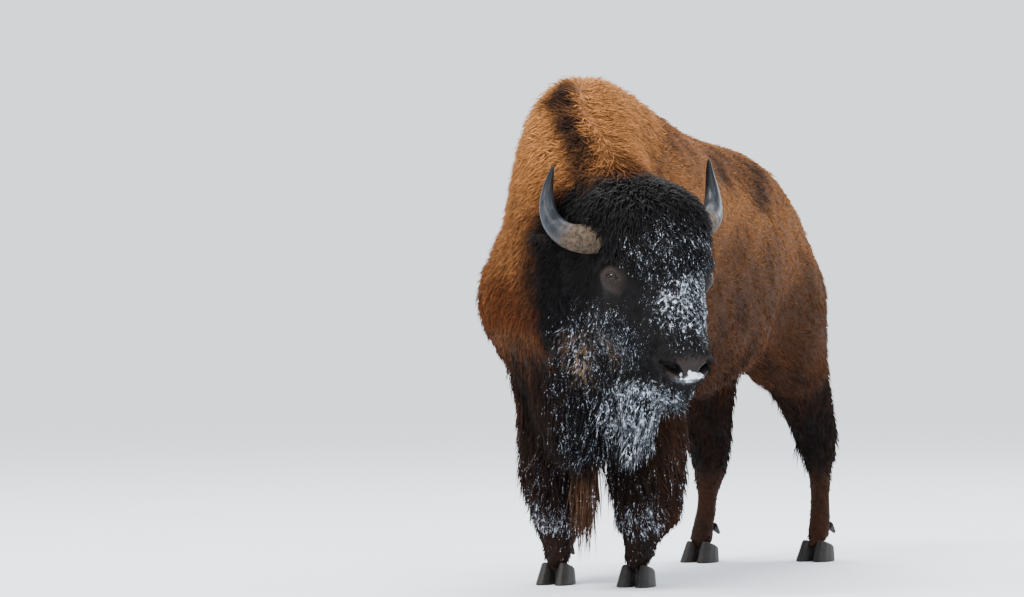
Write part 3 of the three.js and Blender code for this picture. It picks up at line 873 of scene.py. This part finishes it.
# painted shade: nearly black in the nostrils and along the mouth's groove
leather = tint(share_of("hollow_shade"), scaled(leather, 0.5 + pores), soot)
leather = tint(share_of("lip") * between(noise(110, 3), 0.35, 0.6), leather, thin_rime)
fur = tint(share_of("bare"), fur, leather)
put(shader, "Base Color", tint(share_of("clot"), fur, white_rime))
put(shader, "Roughness", 0.80 - 0.34 * share_of("bare") * (1 - share_of("clot")))
put(shader, "Normal", bump(noise(160, 4) + 0.5 * pores, 0.5, 0.003))
hide = Hide(skin)
on_hide = Spots(hide.points, hide.normals)
marks = markings(on_hide)
marks["hollow_shade"] = hollow_shade
marks["lids"] = fall(eye_gap(on_hide), 0.06, 0.10) * (0.25 + 0.75 * rise(on_hide.slit, 1.2, 2.8))
marks["lip"] = near(on_hide, (0.0, 0.258, -0.338), (0.090, 0.08, 0.034)) * (1 - hollow_shade)
ragged = 0.016 * ripple(hide.points, 0.030, 15)
clot = np.hypot((on_hide.left - 0.014) / 0.040, (on_hide.up + 0.316) / 0.015) + ragged / 0.03
marks["clot"] = fall(clot, 0.85, 1.0) * rise(on_hide.fore, 0.20, 0.22)
marked(skin, **marks)
finished(skin, skin_hide, flesh_nodes)
print("skin triangles", len(hide.corners))

# Coat.
# Locks of hair rooted in the hide: short and flat on flank and face, curled on the hump, long on
# brow, beard, throat and forelegs. Each is a closed three-sided blade bent over along the hide.
hairs = []
for name, roughness, gloss in (("fur_hair", 0.72, 0.04), ("black_hair", 0.52, 0.07)):
    made, shader = material(name, Roughness=roughness, Specular_IOR_Level=gloss)
    put(shader, "Base Color", coat_colour(share_of("strand"), share_of("shade")))
    hairs.append(made)
hair_of = {"coat": hairs[0], "dark_coat": hairs[0], "face_coat": hairs[1]}
root_sink, patch_size, fine_lock = 0.003, 0.003, 0.72


def lock_faces(levels):
    """Triangles of one lock, and where their corners lie in its patch of the unwrapped hide."""
    steps = np.linspace(0, 1, levels)
    tip = 3 * (levels - 1)
    faces, corners = [(2, 1, 0)], [((0, 0), (0.5, 0), (1, 0))]
    for level in range(levels - 1):
        low, high = steps[level], steps[level + 1]
        for k in range(3):
            a, b = 3 * level + k, 3 * level + (k + 1) % 3
            left, right = k / 3, (k + 1) / 3
            if level == levels - 2:
                faces.append((a, b, tip))
                corners.append(((left, low), (right, low), (left, high)))
                continue
            faces += [(a, b, b + 3), (a, b + 3, a + 3)]
            corners.append(((left, low), (right, low), (right, high)))
            corners.append(((left, low), (right, high), (left, high)))
    return np.array(faces), np.array(corners)


def locks(at, levels, draw, comb=None):
    """Places and outward directions of the locks' points, and how far along its lock each is."""
    number = len(at.points)
    length, width, lift, wave = hair(at) if comb is None else (np.full(number, c) for c in comb)
    fine = fine_lock if levels == 2 else 1.0
    length = length * fine * draw.uniform(0.7, 1.25, number)
    length *= 1 + 0.18 * ripple(at.points, 0.06, 31)
    width = width * fine * draw.uniform(0.75, 1.25, number)
    lift = lift * draw.uniform(0.5, 1.4, number) + 0.10 * ripple(at.points, 0.04, 32)
    stray = draw.normal(0, 0.20, number) * (1 + 0.5 * rise(lift, 0.45, 0.8))
    stray *= 1.0 if comb is None else 0.5
    flow = lie(at) if at.way is None else at.way
    across = np.cross(at.normals, flow)
    run = flow * np.cos(stray)[:, None] + across * np.sin(stray)[:, None]
    across = np.cross(at.normals, run)
    phase = draw.uniform(0, math.tau, number)
    hang = rise(length, 0.045, 0.12)
    steps = np.linspace(0, 1, levels)
    place = at.points - at.normals * root_sink
    points, outward, strand = [], [], []
    for level, along in enumerate(steps):
        angle = lift * (1.25 - 0.95 * max(along - 0.5 / (levels - 1), 0))
        ahead = run * np.cos(angle)[:, None] + at.normals * np.sin(angle)[:, None]
        ahead[:, 2] -= hang * (0.25 + along) * 1.3
        ahead /= np.linalg.norm(ahead, axis=1, keepdims=True)
        if level:
            place = place + ahead * (length / (levels - 1))[:, None]
        sway = wave * length * (np.sin(phase + 4.2 * along) - np.sin(phase))
        centre = place + across * sway[:, None]
        if level == levels - 1:
            points.append(centre)
            outward.append(ahead)
            strand.append(along)
            break
        above = np.cross(ahead, across)
        size = width * (0.85 + 0.35 * math.sin(math.pi * along) - 0.35 * along) / 2
        for turn in map(math.radians, (210, 330, 90)):
            away = across * math.cos(turn) + above * 0.6 * math.sin(turn)
            points.append(centre + away * size[:, None])
            outward.append(away)
            strand.append(along)
    points, outward = np.stack(points, 1), np.stack(outward, 1)
    soft = outward * 0.75 + at.normals[:, None] * 0.70
    soft /= np.linalg.norm(soft, axis=2, keepdims=True)
    return points, soft, np.array(strand)


def grown(called, sowings, chart, draw, finish, comb=None):
    """One mesh of locks. Each sowing is its roots and how many rings and tip its locks have."""
    parts = {"points": [], "soft": [], "faces": [], "uv": [], "strand": []}
    shares, made = [], 0
    for at, levels in sowings:
        points, soft, strand = locks(at, levels, draw, comb)
        faces, corners = lock_faces(levels)
        number, each = points.shape[:2]
        parts["points"].append(points.reshape(-1, 3))
        parts["soft"].append(soft.reshape(-1, 3))
        firsts = (made + np.arange(number) * each)[:, None, None]
        parts["faces"].append((faces + firsts).reshape(-1, 3))
        parts["uv"].append((chart(at)[:, None, None] + corners * patch_size).reshape(-1, 2))
        parts["strand"].append(np.tile(strand, number))
        marks = {**markings(at), "shade": draw.random(number)}
        shares.append({name: np.repeat(values, each) for name, values in marks.items()})
        made += number * each
    whole = {name: np.concatenate(values) for name, values in parts.items()}

    mesh = bpy.data.meshes.new(called)
    mesh.vertices.add(made)
    mesh.vertices.foreach_set("co", whole["points"].ravel())
    faces = whole["faces"].astype(np.int32)
    mesh.loops.add(faces.size)
    mesh.loops.foreach_set("vertex_index", faces.ravel())
    mesh.polygons.add(len(faces))
    mesh.polygons.foreach_set("loop_start", np.arange(0, faces.size, 3, dtype=np.int32))
    mesh.polygons.foreach_set("use_smooth", np.ones(len(faces), bool))
    mesh.uv_layers.new(name="OFBake").data.foreach_set("uv", whole["uv"].ravel())
    mesh.update(calc_edges=True)
    piece = placed(called, mesh)
    marked(piece, **{name: np.concatenate([s[name] for s in shares]) for name in shares[0]})
    marked(piece, strand=whole["strand"])
    mesh.normals_split_custom_set_from_vertices(whole["soft"])
    mesh.materials.append(hair_of[finish])
    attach(piece, "root")
    print(called, len(faces))


def round_spine(at):
    """Unrolls the hide from round the spine: from the belly up both sides, and along it."""
    return np.stack([np.arctan2(at.x, at.z - 1.05) / math.tau + 0.5, (at.y + 0.5) / 2.4], 1)


def round_head(at):
    """Unrolls the head about an upright axis through the poll."""
    return np.stack([np.arctan2(at.left, at.fore + 0.12) / math.tau + 0.5, (at.up + 0.7) / 1.1], 1)


def round_legs(at):
    """Unrolls each leg round its own upright axis, the left and the right in a half each."""
    fore = at.y < 0.75
    middle_x = np.where(fore, 0.15, 0.17) * np.sign(at.x)
    middle_y = np.where(fore, 0.22, 1.5 + 0.1 * np.sign(at.x))
    turn = np.arctan2(at.x - middle_x, at.y - middle_y) / math.tau + 0.5
    return np.stack([turn * 0.48 + 0.01 + 0.5 * (at.x > 0), at.z / 1.1], 1)


at = hide.middles
haired = (at.slit > 1.5) & ~((markings(at)["bare"] > 0.7) & (at.up < -0.1))
fore_leg = (at.z < 0.66) & (at.y < 0.75) & (at.y > -0.1) & (at.head < 0.5)
hind_leg = ((at.z < 0.80) & (at.y > 1.12)) | ((at.y > 1.66) & (np.abs(at.x) < 0.2))
headed = (at.head > 0.5) & ~fore_leg & haired
crown = headed & (at.up > 0.06) & (at.fore > -0.30)
beard = headed & ((at.up < -0.36) | (at.fore < -0.14)) & ~crown
face = headed & ~crown & ~beard
torso = (at.head <= 0.5) & ~fore_leg & ~hind_leg
mane, hump = torso & (at.y < 0.02), torso & (at.y >= 0.02) & (at.y < 0.62)
flank, rump = torso & (at.y >= 0.62) & (at.y < 1.12), torso & (at.y >= 1.12)
coat_parts = {
    "coat_mane": (mane, ((11500, 3), (18500, 2)), round_spine, "coat"),
    "coat_hump": (hump, ((8500, 3), (27000, 2)), round_spine, "coat"),
    "coat_flank": (flank, ((8000, 3), (26000, 2)), round_spine, "coat"),
    "coat_rump": (rump, ((6500, 3), (21000, 2)), round_spine, "coat"),
    "coat_forelegs": (fore_leg, ((6500, 4), (16000, 2)), round_legs, "dark_coat"),
    "coat_hindlegs": (hind_leg, ((5500, 3), (17000, 2)), round_legs, "dark_coat"),
    "coat_crown": (crown, ((5500, 4), (14000, 2)), round_head, "face_coat"),
    "coat_face": (face, ((3500, 3), (36000, 2)), round_head, "face_coat"),
    "coat_beard": (beard, ((7500, 4), (4000, 2)), round_head, "face_coat"),
}
draw = np.random.default_rng(4)
for called, (share, counts, chart, finish) in coat_parts.items():
    sowings = [(hide.sown(share, number, draw), levels) for number, levels in counts]
    grown(called, sowings, chart, draw, finish)

# the long slack lock between the forelegs, longest in the middle of its patch
roots = hide.sown(brisket(at) * (brisket(at) > 0.3), 460, draw)
roots.way = np.tile([0.0, -0.06, -1.0], (len(roots.points), 1))
roots.normals = np.tile(head_forward, (len(roots.points), 1))
brisket_comb = (0.15 + 0.15 * brisket(roots), 0.0060, 0.05, 0.024)
grown("coat_brisket", [(roots, 4)], round_spine, draw, "dark_coat", brisket_comb)

# Eyes.
# Wet dark brown balls with a wide oval pupil, set deep under the lids. Each lid ends in a bare dark
# rim, and the upper one carries short lashes.
cornea_rise, pupil_half, pupil_high = 0.0010, 0.0070, 0.0038
iris_reach, iris_edge = 0.0125, 0.001
upper_rim, lower_rim = 0.0019, 0.0014
lash_number, lash_comb = 90, (0.015, 0.0013, 0.75, 0.03)
eyeball_wet, shader = material("eyeball_wet", Roughness=0.09, Specular_IOR_Level=0.28)
flecks = between(noise(900, 3), 0.3, 0.7)
iris = tint(flecks, (0.0030, 0.0016, 0.0012), (0.0110, 0.0050, 0.0028))
ball = tint(share_of("iris"), (0.018, 0.011, 0.009), iris)
put(shader, "Base Color", tint(share_of("pupil"), ball, (0.0008, 0.0008, 0.0012)))

lid_edge, shader = material("lid_edge", Roughness=0.5, Specular_IOR_Level=0.2)
put(shader, "Base Color", tint(noise(300, 3), (0.006, 0.004, 0.004), (0.022, 0.012, 0.009)))
put(shader, "Normal", bump(noise(700, 3), 0.4, 0.001))


def drawn_tube(called, path, radii):
    """A tube along a path, with its own radius at each point and closed ends."""
    curve = bpy.data.curves.new(called, "CURVE")
    curve.dimensions = "3D"
    curve.bevel_depth = 1.0
    curve.bevel_resolution = 3
    curve.use_fill_caps = True
    run = curve.splines.new("POLY")
    run.points.add(len(path) - 1)
    for point, place, radius in zip(run.points, path, radii):
        point.co = (*place, 1)
        point.radius = radius
    only(placed(called, curve))
    bpy.ops.object.convert(target="MESH")
    return bpy.context.object


for name, side in sides.items():
    middle, axes = in_head(eye_place[name]), eye_axes(side)
    bpy.ops.object.select_all(action="DESELECT")
    bpy.ops.mesh.primitive_uv_sphere_add(segments=64, ring_count=40, radius=eye_size - 0.0004)
    ball = bpy.context.object
    ball.name = f"eyeball_{name}"
    # the poles of the ball lie along its gaze
    q = places_of(ball)
    gaze = rise(q[:, 2] / eye_size, 0.72, 0.90)
    q *= (1 + gaze * cornea_rise / eye_size)[:, None]
    put_places(ball, from_head(q @ axes + middle))
    marked(
        ball,
        pupil=fall((q[:, 0] / pupil_half) ** 2 + (q[:, 1] / pupil_high) ** 2, 0.8, 1.3),
        iris=fall(np.hypot(q[:, 0], q[:, 1]), iris_reach - iris_edge, iris_reach + iris_edge),
    )
    finished(ball, eyeball_wet, [f"eye_{name}"])

    rims = []
    t = np.linspace(-1, 1, 33)
    for called, height, thick in (("upper", slit_up, upper_rim), ("lower", -slit_down, lower_rim)):
        along, up = 1.03 * slit_half * t, height * (1 - t * t)
        out = np.sqrt(lid_size**2 - along**2 - up**2) - 0.0006
        path = from_head(np.stack([along, up, out], 1) @ axes + middle)
        rims.append(drawn_tube(f"lid_{called}_{name}", path, thick * (1 - 0.55 * t**4)))
    only(*rims)
    bpy.ops.object.join()
    bpy.context.object.name = f"lid_rims_{name}"
    finished(bpy.context.object, lid_edge)


at = hide.middles
lid_brim = (at.slit > 0.95) & (at.slit < 1.35) & (eye_gap(at) < 0.032)
above = np.max([in_eye(at.points, name)[:, 1] > 0.004 for name in sides], 0)
roots = hide.sown(lid_brim & above, lash_number, draw)
grown("coat_lashes", [(roots, 3)], round_head, draw, "face_coat", lash_comb)

# Horns.
# Short stout horns that leave the skull sideways and sweep up, brown and scaly at the root, slate
# blue above it and polished nearly black at the tip.
horn_height, horn_reach, horn_aside, horn_lift, horn_stations = 0.360, 0.307, 0.012, 0.022, 200
horn_bends = [
    (0.110, -0.070, 0.128),
    (0.180, -0.095, 0.124),
    (0.250, -0.140, 0.126),
    (horn_reach - 0.012, -0.180, 0.168),
    (horn_reach, -0.206, 0.235),
    (horn_reach - 0.010, -0.208, 0.305),
    (horn_reach - 0.020, -0.196, horn_height),
]


def along_horn(points, side):
    """0 at a horn's root and 1 at its tip."""
    raised = horn_lift if side > 0 else 0
    x, y, z = np.array(horn_bends).T
    path = np.stack([side * x + horn_aside, y, z + raised * (2.4 - 1.4 * z / horn_height)], 1)
    steps = np.linalg.norm(np.diff(path, axis=0), axis=1)
    reached = np.concatenate([[0], np.cumsum(steps)])
    fine = np.linspace(0, reached[-1], horn_stations)
    places = np.stack([np.interp(fine, reached, path[:, k]) for k in range(3)], 1)
    gaps = np.linalg.norm(in_head(points)[:, None] - places[None], axis=2)
    return gaps.argmin(1) / (horn_stations - 1)


horn_sheath, shader = material("horn_sheath", Roughness=0.42, Specular_IOR_Level=0.22)
along = share_of("along")
scaly = noise(70, 5, 0.7)
streak = noise(55, 4, 0.6, 0.6, stretch=(1, 1, 0.22))
fine_grain = noise(330, 3)
root_wear = 1 - between(along + 0.22 * (streak - 0.5), 0.34, 0.50)
root_colour = tint(between(scaly, 0.35, 0.65), (0.018, 0.012, 0.008), (0.082, 0.055, 0.033))
slate = tint(between(streak, 0.36, 0.66), (0.006, 0.007, 0.009), (0.026, 0.030, 0.037))
slate = tint(between(along + 0.15 * (streak - 0.5), 0.70, 0.92), slate, (0.004, 0.0045, 0.006))
slate = scaled(slate, 0.7 + 0.6 * fine_grain)
put(shader, "Base Color", tint(root_wear, slate, root_colour))
put(shader, "Roughness", 0.36 + 0.34 * root_wear)
rings = Tie.maths("SINE", along * 110 + 6 * streak, 0.0) * root_wear
relief = 0.5 * rings + 1.4 * scaly * root_wear + 0.25 * fine_grain
put(shader, "Normal", bump(relief, 0.55, 0.003))

for name, side in sides.items():
    horn = copy_of(f"horn_{name}", called=f"horn_sheath_{name}")
    bpy.ops.object.mode_set(mode="EDIT")
    bpy.ops.mesh.select_all(action="SELECT")
    bpy.ops.mesh.tris_convert_to_quads()
    bpy.ops.object.mode_set(mode="OBJECT")
    modified(horn, "SUBSURF", levels=3, render_levels=3)
    points = places_of(horn)
    marked(horn, along=along_horn(points, side))
    finished(horn, horn_sheath, [f"horn_{name}"])

# Ears.
# Small leaves behind the horns, almost lost in long black hair.
ear_locks, ear_comb = 480, (0.046, 0.0040, 0.42, 0.10)
ear_skin, shader = material("ear_skin", Roughness=0.8, Specular_IOR_Level=0.1)
ear_brown = tint(noise(90, 3), (0.0035, 0.0028, 0.0028), (0.016, 0.009, 0.007))
put(shader, "Base Color", ear_brown)
put(shader, "Normal", bump(noise(240, 4), 0.5, 0.002))

for name in sides:
    ear = copy_of(f"ear_{name}", called=f"ear_leaf_{name}")
    modified(ear, "SUBSURF", levels=2, render_levels=2)
    finished(ear, ear_skin, [f"ear_{name}"])
    ear_hide = Hide(ear)
    roots = ear_hide.sown(np.ones(len(ear_hide.area)), ear_locks, draw)
    ear_way = unit([0.35 * sides[name], -0.45, -0.85]) @ head_axes
    roots.way = ear_way - roots.normals * (roots.normals @ ear_way)[:, None] + 1e-4
    grown(f"coat_ear_{name}", [(roots, 3)], round_head, draw, "face_coat", ear_comb)

# Hooves and dewclaws.
# Two dark horn claws on each foot, finely ribbed from top to sole, and two small dewclaws behind.
claw_voxel = 0.0035
hoof_horn, shader = material("hoof_horn", Roughness=0.55, Specular_IOR_Level=0.3)
ribbing, bands = noise(260, 3, stretch=(1, 1, 0.08)), noise(150, 3, stretch=(0.1, 0.1, 1))
worn = tint(between(ribbing, 0.35, 0.7), (0.005, 0.004, 0.0035), (0.018, 0.014, 0.011))
put(shader, "Base Color", scaled(worn, 0.6 + 0.8 * bands))
put(shader, "Roughness", 0.45 + 0.3 * ribbing)
put(shader, "Normal", bump(ribbing + 0.6 * bands, 0.6, 0.002))
for name in sorted(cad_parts):
    if name.startswith(("hoof_", "dewclaw_")):
        claw = copy_of(name, called=name.replace("hoof_", "claw_").replace("dewclaw_", "spur_"))
        remeshed(claw, claw_voxel)
        modified(claw, "SMOOTH", factor=0.5, iterations=18)
        finished(claw, hoof_horn, [name])
